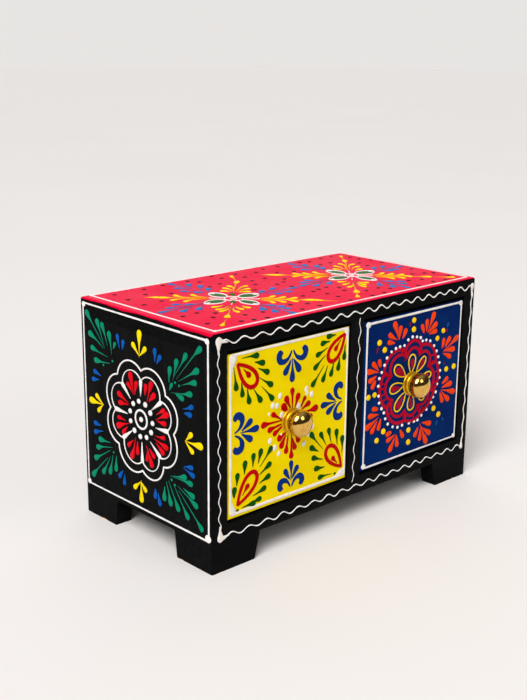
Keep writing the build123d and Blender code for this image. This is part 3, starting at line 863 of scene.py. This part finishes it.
specks = [
    (10.6, 81.0), (26.8, 81.2), (38.4, 82.6), (53.0, 82.7), (56.0, 77.8), (69.3, 77.5), (68.3, 83.6),
    (80.5, 80.5), (79.3, 72.2), (21.0, 72.5), (9.2, 69.3), (31.0, 67.0), (52.7, 66.6), (60.3, 68.4),
    (76.2, 63.8), (71.9, 56.8), (79.8, 50.6), (8.6, 57.0), (18.4, 57.8), (63.6, 48.4), (81.5, 43.0),
    (8.0, 30.5), (16.0, 31.3), (21.8, 26.3), (16.2, 21.2), (7.8, 14.8), (28.8, 16.1), (20.5, 9.0),
    (26.0, 7.7), (32.5, 6.6), (37.6, 14.8), (53.4, 7.8), (63.6, 7.7), (62.3, 13.7), (55.3, 16.8),
    (71.4, 25.5), (81.3, 6.4), (82.3, 14.7), (85.0, 22.7), (83.5, 30.0), (93.3, 78.3), (101.2, 82.0),
    (111.2, 82.0), (127.2, 82.8), (132.0, 80.6), (143.0, 83.0), (150.5, 83.0), (157.5, 76.0), (100.8, 71.7),
    (109.0, 68.2), (87.0, 65.4), (93.0, 58.3), (87.8, 53.5), (130.8, 71.6), (138.5, 72.0), (157.0, 69.5),
    (159.4, 63.4), (149.0, 62.0), (159.0, 55.8), (147.3, 55.0), (88.7, 31.6), (94.7, 32.7), (98.7, 28.4),
    (95.8, 22.4), (103.2, 16.0), (111.3, 16.0), (97.6, 7.3), (106.3, 8.0), (114.6, 11.8), (129.5, 7.7),
    (134.3, 17.4), (141.3, 15.2), (141.5, 8.6), (149.3, 7.4), (158.0, 12.6), (158.0, 21.5), (154.0, 24.0),
    (148.0, 26.5), (157.3, 34.8),
]
green_cores = [(50.3, 48.4, 47.6, 44.8), (40.2, 36.2, 42.6, 38.8)]
core_share = 0.9
curl_share = 0.3
slim_yellow = 1.0
full_yellow = 1.18
slim_blue = 1.3
full_blue = 1.65
border = [line(top_border, top_border_widths, looped=True), top_pads]
paint("top_border", top_face, border, white_relief)
top_whites = [
    ovals(settled_ovals(top_petals), half_width=0.38, pointed=1.2),
    dabs(settled(petal_tips), radius=1.05, tail=0.25, fall=1.5, height=0.3),
    ovals(settled_ovals(flower_hearts), half_width=0.33),
    dabs(settled(heart_flicks), radius=0.38, tail=0.2, fall=2.4),
]
paint("top_petal_lines", top_face, top_whites, white_relief)
cores = [
    dots([middle], core_share * across, stretch=up / across, lean=90, height=0.2)
    for *middle, across, up in settled_ovals(top_petals)
]
cores.append(dabs(settled(green_cores), radius=1.5, fall=2.0))
paint("top_petals", top_face, cores, top_green)
yellow_dabs = np.array(yellow_dabs)
spray_hearts = np.where(yellow_dabs[:, :1] < reading_middle, flower_hearts[0][:2], flower_hearts[2][:2])
outward = yellow_dabs[:, :2] - spray_hearts
spray_axes = np.sign(outward)
dab_curls = curl_share * np.sign(spray_axes[:, 0] * outward[:, 1] - spray_axes[:, 1] * outward[:, 0])
dab_radii = np.where(spray_axes[:, 0] == spray_axes[:, 1], slim_yellow, full_yellow)
yellow_strokes = [
    dabs(settled(yellow_dabs), dab_radii, tail=0.4, fall=2.2, curl=dab_curls),
    dabs(settled(buds), radius=1.55, tail=0.24, fall=2.2, bend=0.03),
    dabs(settled(bud_flicks), radius=1.1, tail=0.22, fall=2.6, bend=0.08),
]
paint("top_yellow_sprays", top_face, yellow_strokes, top_yellow)
blue_radii = np.where(runs(blue_dabs).prod(axis=1) > 0, full_blue, slim_blue)
blue_strokes = [
    dabs(settled(blue_dabs), blue_radii, tail=0.34, fall=1.9),
    dabs(settled(blue_stems), radius=slim_blue, tail=0.36, fall=2.8, bend=0.02),
]
paint("top_blue_sprays", top_face, blue_strokes, top_blue)
speckle = [dots(settled(specks), radius=1.12, height=0.16)]
paint("top_specks", top_face, speckle, speck_black)

# Relief paint on the yellow drawer: a white border, four red drop-shaped loops fringed with green dabs
# in the corners, four blue lilies between them, and a red burst with white dots behind the knob.
reading_side = 68.0
drop_stations = 30
drop_tip_share = 0.85
drop_end_gain = 0.35


def drawer_face(drawer):
    """The painted face of a drawer front, measured as a square of reading_side each way."""
    low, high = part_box(f"{drawer}_front")
    scale_x = (high[0] - low[0]) / (reading_side * MM)
    scale_z = (high[2] - low[2]) / (reading_side * MM)
    axes = np.array([(scale_x, 0, 0), (0, 0, scale_z), (0, -1, 0)], dtype=float)
    return np.array(low), axes, drawer


def teardrops(rows, breadth, half_width, height=line_height):
    """Closed loops from a pointed tip to a round end, a row for each: tip, then end. Going once round,
    a point lies half of one less the cosine of the way along, and sideways the breadth, one for all or
    one for each, times the sine of the way times the sine of half the way. The line is thicker at
    the round end."""
    rows = np.asarray(rows, dtype=float)
    turn = 2 * np.pi * (np.arange(drop_stations) + 0.5) / drop_stations
    run = (rows[:, 2:] - rows[:, :2])[:, None, :]
    side = np.stack([-run[..., 1], run[..., 0]], axis=-1) / np.linalg.norm(run, axis=2, keepdims=True)
    along = (1 - np.cos(turn)) / 2
    across = np.broadcast_to(breadth, len(rows))[:, None] * np.sin(turn) * np.sin(turn / 2)
    path = rows[:, None, :2] + run * along[:, None] - side * across[..., None]
    half_widths = np.tile(half_width * (drop_tip_share + drop_end_gain * along), (len(rows), 1))
    return path, half_widths, np.full(half_widths.shape, height), True


lily_drops = np.array([(0, 9.0, 0, 0.2), (-3.7, 5.6, -0.6, 0.9), (3.8, 5.7, 0.6, 0.9)])
lily_curl = np.array([
    (0.5, -2.9), (1.6, -0.3), (3.6, 1.2), (6.2, 1.5), (7.8, -0.4), (7.2, -2.8), (5.4, -2.5),
])
curl_widths = [0.3, 0.6, 1.05, 1.45, 1.6, 1.55, 1.2]
lily_radius = 1.55


def lily(root, turn, scale):
    """Three drops and two curls about an axis that starts at the root, turned in degrees from upwards."""
    angle = math.radians(turn)
    axes = scale * np.array([(math.cos(angle), math.sin(angle)), (-math.sin(angle), math.cos(angle))])
    root = np.asarray(root, dtype=float)
    drops = np.concatenate([root + lily_drops[:, :2] @ axes, root + lily_drops[:, 2:] @ axes], axis=1)
    strokes = [dabs(drops, lily_radius * scale, tail=0.36, fall=2.2)]
    for hand in (-1, 1):
        strokes.append(line(root + lily_curl * (hand, 1) @ axes, curl_widths, step=0.5, soften=3))
    return strokes


yellow_face = drawer_face("left_drawer")
drawer_green = relief_paint("relief_drawer_green", 4, 76, 4)
drawer_red = relief_paint("relief_drawer_red", 184, 0, 2)
drawer_blue = relief_paint("relief_drawer_blue", 0, 44, 118)
yellow_border = [(1.3, 2.0), (60.0, 2.0), (66.9, 2.0), (66.9, 56.0), (66.9, 67.0), (1.3, 67.0)]
yellow_border_widths = [0.72, 0.74, 0.5, 0.36, 0.56, 0.6]
yellow_pad_radii = [2.0, 1.4, 1.8, 2.0]
yellow_pads = [
    (2.7, 65.6, 1.6, 58.0), (66.2, 66.0, 66.8, 61.0), (2.3, 3.0, 1.6, 7.6), (65.4, 3.2, 61.0, 2.2),
]
corner_drops = [
    (5.0, 63.0, 14.6, 53.2), (65.0, 64.8, 56.0, 55.0), (5.0, 5.2, 14.6, 16.6), (64.8, 6.2, 56.0, 16.6),
]
drop_hearts = [
    (10.8, 57.7, 8.0, 60.6), (59.7, 59.4, 62.8, 62.8), (10.3, 11.8, 7.6, 8.4), (59.7, 11.1, 62.4, 8.2),
]
fringe = [
    (15.0, 64.7, 7.0, 65.0), (18.2, 61.2, 13.8, 62.3), (20.7, 57.0, 15.7, 59.5), (22.7, 51.5, 16.5, 55.5),
    (23.4, 45.6, 17.7, 51.6), (17.0, 46.3, 13.2, 51.8), (11.1, 47.0, 10.1, 52.6), (7.5, 50.5, 7.0, 55.6),
    (4.3, 53.8, 3.0, 62.2), (55.2, 65.4, 59.8, 65.4), (51.7, 63.0, 56.2, 63.2), (49.0, 58.7, 55.0, 60.8),
    (47.7, 53.5, 53.8, 57.8), (46.5, 46.6, 53.0, 53.6), (52.5, 47.5, 55.2, 53.2), (57.2, 49.0, 58.8, 54.0),
    (61.5, 50.8, 62.2, 55.4), (65.0, 54.8, 65.5, 60.6), (9.0, 21.7, 8.7, 17.2), (13.5, 23.8, 13.2, 19.0),
    (17.5, 24.7, 16.0, 19.8), (22.9, 24.5, 17.0, 18.2), (22.2, 18.0, 16.7, 14.8), (21.7, 13.0, 16.7, 11.2),
    (19.4, 8.5, 13.2, 6.8), (16.9, 4.6, 11.0, 3.6), (13.6, 3.6, 7.2, 3.3), (5.0, 17.6, 4.5, 13.4),
    (3.4, 12.0, 3.2, 8.6), (46.3, 24.9, 53.4, 16.8), (52.0, 23.7, 55.4, 18.0), (56.7, 24.4, 58.5, 18.2),
    (61.5, 22.7, 62.2, 16.4), (65.2, 18.9, 65.2, 12.2), (46.5, 19.0, 50.8, 16.4), (47.8, 14.2, 53.7, 12.2),
    (49.5, 9.0, 54.8, 8.5), (51.8, 4.5, 59.0, 4.2),
]
burst_rays = [
    (34.7, 46.5, 34.8, 38.8), (31.5, 43.6, 33.8, 39.2), (38.0, 43.5, 36.4, 39.0), (30.0, 40.6, 32.6, 37.6),
    (41.8, 41.8, 39.6, 38.4), (44.1, 39.1, 40.2, 37.3), (48.3, 36.1, 41.6, 35.8), (45.5, 33.2, 41.2, 34.4),
    (24.1, 38.6, 28.8, 35.6), (18.9, 35.3, 29.4, 35.1), (22.3, 32.5, 29.0, 33.6), (25.1, 30.4, 29.4, 32.8),
    (27.8, 27.8, 31.6, 29.4), (29.0, 24.4, 31.4, 28.4), (31.6, 21.4, 32.6, 28.2), (34.6, 18.6, 34.6, 28.0),
    (36.5, 21.9, 34.9, 26.4), (38.5, 24.6, 36.4, 28.6), (41.4, 27.0, 38.0, 30.4), (44.0, 30.4, 40.0, 32.4),
]
ray_radii = [
    1.35, 1.5, 1.45, 1.7, 1.0, 1.3, 1.55, 1.2, 1.3, 1.5, 1.4, 1.25, 1.6, 1.45, 1.35, 1.3, 1.4, 1.4, 1.2,
    1.2,
]
burst_dots = [
    (27.8, 45.6), (23.8, 42.4), (26.2, 41.8), (21.8, 39.3), (28.8, 37.4), (38.3, 39.0), (42.8, 45.4),
    (43.1, 43.6), (45.8, 42.6), (46.6, 28.5), (44.3, 25.6), (41.8, 22.1), (22.5, 27.8), (25.1, 24.3),
    (27.4, 21.3), (28.5, 28.6),
]
dot_radii = [1.15, 1.15, 0.95, 0.65, 1.15, 1.25, 1.1, 0.95, 1.05, 1.05, 0.95, 1.1, 1.15, 1.1, 1.0, 0.9]
fringe_specks = [(5.0, 3.0), (61.0, 3.8)]
lily_places = [
    (34.5, 60.6, 180, 1.0), (6.2, 35.0, -90, 0.97), (61.4, 36.2, 90, 0.95), (34.6, 7.6, 0, 0.86),
]
border = [
    line(yellow_border, yellow_border_widths, looped=True),
    dabs(yellow_pads, yellow_pad_radii, tail=0.4, fall=1.4, bend=0.0, height=pad_height),
]
paint("yellow_front_border", yellow_face, border, dusty_white_relief, sink=0.35)
loops = [
    teardrops(corner_drops, breadth=4.2, half_width=0.84),
    dabs(drop_hearts, radius=1.25, tail=0.3, fall=1.3),
]
paint("yellow_front_drops", yellow_face, loops, drawer_red)
burst = [dabs(burst_rays, ray_radii, tail=0.5, fall=1.3, bend=0.03)]
paint("yellow_front_burst", yellow_face, burst, drawer_red)
fringes = [
    dabs(fringe, radius=1.3, tail=0.3, fall=1.7),
    dots(fringe_specks, radius=0.6, stretch=1.3, height=0.25),
]
paint("yellow_front_fringe", yellow_face, fringes, drawer_green)
lilies = [stroke for *root, turn, scale in lily_places for stroke in lily(root, turn, scale)]
paint("yellow_front_lilies", yellow_face, lilies, drawer_blue)
burst_beads = [dots(burst_dots, dot_radii, stretch=1.25, lean=72, height=0.3)]
paint("yellow_front_dots", yellow_face, burst_beads, dusty_white_relief)

# Relief paint on the blue drawer: a white border, a red double scallop with yellow-edged petals behind
# the knob, a chain of white dots round it, and orange sprays with yellow dots between them.
blue_face = drawer_face("right_drawer")
drawer_orange = relief_paint("relief_drawer_orange", 236, 64, 4)
drawer_yellow = relief_paint("relief_drawer_yellow", 252, 204, 0)
drawer_crimson = relief_paint("relief_drawer_crimson", 180, 0, 34)
petal_crimson = relief_paint("relief_petal_crimson", 168, 4, 40)
smear_blue = relief_paint("relief_smear_blue", 4, 72, 140)
smear_red = relief_paint("relief_smear_red", 120, 6, 44)
blue_border = [(1.9, 1.2), (67.0, 1.1), (67.1, 60.0), (67.1, 66.6), (2.1, 66.4), (2.0, 45.0)]
blue_border_widths = [0.46, 0.34, 0.28, 0.52, 0.6, 0.47]
blue_pads = np.array([(2.6, 66.0, 1.55), (66.6, 66.2, 1.3), (2.2, 2.0, 1.3), (66.5, 1.4, 1.1)])
rose_centre = (32.0, 34.6)
outer_rose_angles = [-19.6, 20.9, 67.1, 104.2, 159.0, 209.5, 260.6, 297.4]
outer_rose_radii = [19.1, 19.1, 17.5, 16.3, 19.5, 17.7, 17.2, 18.2]
outer_rose_bulges = [1.07, 1.12, 1.15, 1.15, 1.11, 1.12, 1.06, 1.02]
outer_rose_widths = (0.82, 0.82)
inner_rose_angles = [-26.6, 23.9, 63.6, 103.6, 156.5, 205.8, 256.4, 297.6]
inner_rose_radii = [15.2, 13.6, 13.3, 12.4, 14.1, 12.9, 12.8, 13.0]
inner_rose_bulges = [1.19, 1.27, 1.26, 1.32, 1.26, 1.31, 1.23, 1.14]
inner_rose_widths = (0.76, 0.76)
notches = [
    (27.9, 49.6, 29.1, 46.2), (38.6, 49.6, 37.9, 46.2), (48.4, 41.2, 44.0, 40.1), (48.6, 28.2, 45.4, 27.6),
    (39.8, 19.6, 38.0, 23.6), (29.2, 18.8, 29.0, 22.6), (17.4, 27.0, 20.8, 29.2), (15.0, 41.8, 19.6, 40.2),
]
links = [
    (12.4, 37.9, 15.2, 37.4), (12.0, 35.6, 15.0, 35.6), (12.0, 32.6, 15.2, 32.6), (13.2, 29.6, 16.2, 30.6),
    (17.2, 22.6, 19.6, 23.0), (48.9, 45.2, 46.2, 44.4), (51.8, 36.2, 49.2, 36.4), (51.4, 31.2, 48.6, 31.4),
    (47.2, 23.4, 44.8, 24.6), (42.2, 19.6, 41.4, 21.8), (35.6, 16.9, 35.2, 18.9), (25.4, 51.0, 25.8, 48.4),
]
rose_petals = [
    (32.6, 38.8, 33.1, 47.6), (36.1, 38.5, 42.3, 44.8), (39.6, 35.5, 46.9, 35.9), (36.4, 32.6, 42.1, 24.9),
    (33.1, 29.8, 33.2, 21.5), (29.4, 31.2, 22.5, 23.3), (28.2, 34.6, 18.2, 33.7), (28.8, 38.2, 21.1, 43.9),
]
petal_breadths = [3.1, 2.4, 2.1, 2.8, 3.0, 3.3, 3.0, 3.1]
petal_drops = [
    (33.1, 44.4, 32.9, 41.0), (40.7, 43.2, 37.8, 39.6), (44.2, 36.2, 41.0, 35.6), (33.2, 24.0, 33.2, 28.4),
    (24.4, 25.2, 27.6, 29.2), (20.8, 33.9, 25.0, 33.9), (23.8, 41.7, 27.4, 38.9), (40.8, 26.6, 38.0, 30.0),
]
drop_radii = [1.2, 1.15, 0.8, 1.25, 1.4, 1.35, 1.75, 1.0]
chain = [
    (18.3, 51.5), (21.2, 52.5), (24.0, 52.8), (27.0, 52.8), (29.5, 55.0), (32.5, 55.8), (35.5, 55.3),
    (38.2, 54.5), (39.7, 52.7), (42.3, 52.7), (45.2, 51.8), (48.2, 49.0), (50.2, 46.1), (51.7, 43.1),
    (52.8, 40.1), (53.5, 36.2), (53.4, 32.8), (51.8, 30.1), (51.1, 26.3), (49.4, 24.2), (48.1, 21.9),
    (44.8, 19.2), (41.3, 17.2), (38.6, 15.5), (36.1, 15.4), (32.5, 15.3), (27.7, 15.5), (24.5, 15.2),
    (21.1, 16.2), (17.7, 18.3), (15.8, 21.2), (14.7, 24.2), (13.0, 26.5), (11.2, 29.5), (10.7, 32.8),
    (10.3, 37.4), (10.8, 40.8), (12.2, 43.3), (14.0, 46.2), (15.4, 49.3),
]
orange_sprays = [
    (20.1, 63.5, 23.0, 56.0), (24.0, 61.2, 23.2, 56.2), (27.5, 59.5, 25.5, 56.2), (17.0, 59.2, 21.9, 56.3),
    (16.6, 56.0, 20.5, 55.2), (47.0, 63.7, 43.0, 55.9), (42.4, 61.2, 42.3, 56.5), (39.1, 59.5, 40.6, 56.1),
    (48.7, 59.0, 43.4, 56.0), (48.7, 55.8, 44.3, 55.1), (65.0, 49.9, 55.0, 44.9), (59.4, 50.4, 56.3, 46.8),
    (55.2, 50.3, 54.3, 46.6), (62.5, 44.9, 55.8, 45.0), (60.2, 41.8, 55.2, 44.0), (59.0, 31.2, 55.5, 29.3),
    (61.7, 28.3, 55.5, 27.4), (64.3, 23.9, 55.0, 26.5), (60.5, 21.0, 55.0, 26.2), (56.2, 21.2, 54.4, 25.4),
    (37.3, 8.5, 39.4, 12.0), (40.8, 6.0, 41.2, 11.0), (45.4, 3.7, 40.4, 13.5), (47.5, 7.3, 42.0, 11.2),
    (47.5, 11.9, 42.0, 13.5), (17.8, 13.3, 20.5, 14.0), (18.2, 10.4, 23.0, 12.1), (20.0, 5.7, 23.0, 11.0),
    (24.7, 7.0, 23.8, 12.0), (28.3, 10.3, 26.4, 13.5), (7.8, 27.4, 10.8, 26.7), (5.5, 24.5, 11.3, 24.3),
    (3.8, 19.7, 11.3, 23.0), (7.2, 17.2, 10.5, 21.5), (11.5, 17.8, 12.8, 22.0), (10.6, 48.5, 11.5, 45.8),
    (6.8, 48.0, 10.2, 44.3), (3.8, 45.1, 10.5, 43.6), (4.8, 40.8, 9.0, 42.3), (6.5, 37.8, 8.5, 40.5),
]
orange_radii = radii_by_length(orange_sprays, share=0.24, least=1.25, most=1.5)
yellow_dots = [
    (33.0, 63.4), (33.1, 59.2), (10.1, 57.0), (13.7, 53.2), (4.0, 33.5), (8.0, 33.9), (14.8, 15.5),
    (10.5, 12.2), (32.4, 12.1), (32.6, 6.2), (50.1, 18.6), (54.0, 14.8), (58.2, 36.0), (63.8, 36.3),
    (54.5, 55.0), (50.4, 52.1),
]
petal_specks = [(24.1, 41.3), (26.4, 27.6), (33.2, 26.4)]
blue_strays = [(57.9, 57.6, 57.2, 56.2), (52.8, 10.4, 53.6, 12.0), (57.6, 11.6, 57.0, 12.4)]
red_strays = [(9.2, 54.4, 8.4, 52.4), (30.4, 62.2, 30.2, 60.8), (57.3, 54.9, 56.6, 54.0)]
red_specks = [(56.3, 39.2), (44.2, 40.0), (27.7, 46.0)]
border = [
    line(blue_border, blue_border_widths, looped=True),
    dots(blue_pads[:, :2], blue_pads[:, 2], height=pad_height),
]
paint("blue_front_border", blue_face, border, dusty_white_relief, sink=0.2)
rose = [
    scallop(rose_centre, outer_rose_radii, outer_rose_bulges, outer_rose_angles, *outer_rose_widths),
    scallop(rose_centre, inner_rose_radii, inner_rose_bulges, inner_rose_angles, *inner_rose_widths),
    dabs(notches, radius=1.05, tail=0.4, fall=2.6),
    dabs(links, radius=0.45, tail=0.4),
]
paint("blue_front_rose", blue_face, rose, drawer_crimson)
outlines = [teardrops(rose_petals, petal_breadths, half_width=0.32, height=0.24)]
paint("blue_front_petal_lines", blue_face, outlines, drawer_yellow)
hearts = [dabs(petal_drops, drop_radii, fall=2.4)]
paint("blue_front_petals", blue_face, hearts, petal_crimson)
beads = [dots(chain, radius=0.76, height=0.4)]
paint("blue_front_chain", blue_face, beads, white_relief)
sprays = [dabs(orange_sprays, orange_radii, tail=0.24, fall=2.6)]
paint("blue_front_sprays", blue_face, sprays, drawer_orange)
paint("blue_front_dots", blue_face, [dots(yellow_dots, radius=1.4)], drawer_yellow)
marks = [
    dots(petal_specks, radius=0.5, height=0.45),
    dabs(blue_strays, radius=0.8, height=0.12),
]
paint("blue_front_marks", blue_face, marks, smear_blue)
smears = [
    dabs(red_strays, radius=0.7, height=0.12),
    dots(red_specks, radius=0.6, height=0.2),
]
paint("blue_front_smears", blue_face, smears, smear_red)

# Floor: a plain pale sheet, matt and faintly clouded, that the box stands on and throws its shadow on.
# It is one square, large enough to reach out of the picture on every side.
floor_reach = 8.0
floor_clouds = 3.0
floor_shade = display(243, 238, 235)
floor_light = display(246, 242, 239)
floor_corners = floor_reach * np.array([(-1, -1, 0), (1, -1, 0), (1, 1, 0), (-1, 1, 0)])
floor_mesh = bpy.data.meshes.new("floor")
floor_mesh.from_pydata(floor_corners.tolist(), [], [(0, 1, 2, 3)])
floor_finish, tree, shader, place = new_material("pale_floor", roughness=0.9, specular=0.1)
cloudy = mix_colour(tree, noise(tree, place, floor_clouds), floor_shade, floor_light)
tree.links.new(cloudy, shader.inputs["Base Color"])
floor_mesh.materials.append(floor_finish)
floor = bpy.data.objects.new("floor", floor_mesh)
bpy.context.scene.collection.objects.link(floor)

# Light: a surround that lights palely from near the floor and dimly from above, looks as pale as the
# floor, and shows in the brass as a dark room in front with a pale wall behind. Two far soft lamps
# light everything, the stronger from the upper left; two near ones show in the brass.
surround_white = display(250, 247, 245)
surround_seen = 0.84
world = bpy.data.worlds.new("pale_surround")
bpy.context.scene.world = world
world.use_nodes = True
tree = world.node_tree
surround = tree.nodes["Background"]
surround.inputs["Color"].default_value = surround_white
heading = parts_of(tree, add(tree, "ShaderNodeTexCoord").outputs["Generated"])
lighting = spread(tree, heading[2], 0.04, 0.4, to_low=0.8, to_high=0.16)
ceiling = spread(tree, heading[2], 0.35, 0.9, to_low=0.05, to_high=0.4)
wall = spread(tree, heading[2], 0.16, 0.24, to_low=0.6, to_high=0.05)
mirrored = spread(tree, heading[1], 0.0, 0.5, ceiling, wall)
rays = add(tree, "ShaderNodeLightPath").outputs
unseen = spread(tree, rays["Is Glossy Ray"], 0.0, 1.0, lighting, mirrored)
strength = spread(tree, rays["Is Camera Ray"], 0.0, 1.0, unseen, surround_seen)
tree.links.new(strength, surround.inputs["Strength"])
lamp_aim = Vector((0.0, 0.0, 0.05))


def hang_lamp(name, kind, place, energy, width):
    """A lamp that faces the box from a place: a far round one, so many degrees wide, or a square one,
    so many metres wide."""
    lamp = bpy.data.lights.new(name, kind)
    lamp.energy = energy
    if kind == "SUN":
        lamp.angle = math.radians(width)
    else:
        lamp.size = width
    holder = bpy.data.objects.new(name, lamp)
    holder.location = place
    holder.rotation_euler = (lamp_aim - Vector(place)).to_track_quat("-Z", "Y").to_euler()
    bpy.context.scene.collection.objects.link(holder)


hang_lamp("key_lamp", "SUN", place=(-1.2, -0.7, 1.7), energy=2.5, width=40)
hang_lamp("rear_lamp", "SUN", place=(1.0, 1.4, 1.4), energy=0.5, width=60)
hang_lamp("left_window", "AREA", place=(-1.1, -0.5, 1.0), energy=3.2, width=0.5)
hang_lamp("right_window", "AREA", place=(0.35, -1.3, 0.8), energy=2.2, width=0.5)

# Camera: a long lens a little above the top, at the front left corner and looking slightly down.
# Its place, its turns and its focal length were fitted to the corners of the box in the picture.
picture_height = 700
focal_pixels = 1101.3
camera_place = Vector((-342.47, -346.73, 205.34)) * MM
camera_turns = (43.039, 15.435, 0.480)
yaw, pitch, roll = (math.radians(angle) for angle in camera_turns)
forward = Vector((math.sin(yaw) * math.cos(pitch), math.cos(yaw) * math.cos(pitch), -math.sin(pitch)))
level = Vector((math.cos(yaw), -math.sin(yaw), 0.0))
upward = level.cross(forward)
right = math.cos(roll) * level + math.sin(roll) * upward
over = math.cos(roll) * upward - math.sin(roll) * level
lens = bpy.data.cameras.new("camera")
lens.sensor_width = 36.0
lens.lens = focal_pixels / picture_height * lens.sensor_width
lens.clip_start = 0.01
camera = bpy.data.objects.new("camera", lens)
turned = Matrix((right, over, -forward)).transposed().to_4x4()
camera.matrix_world = Matrix.Translation(camera_place) @ turned
bpy.context.scene.collection.objects.link(camera)
bpy.context.scene.camera = camera
bpy.context.scene.view_settings.view_transform = "Standard"
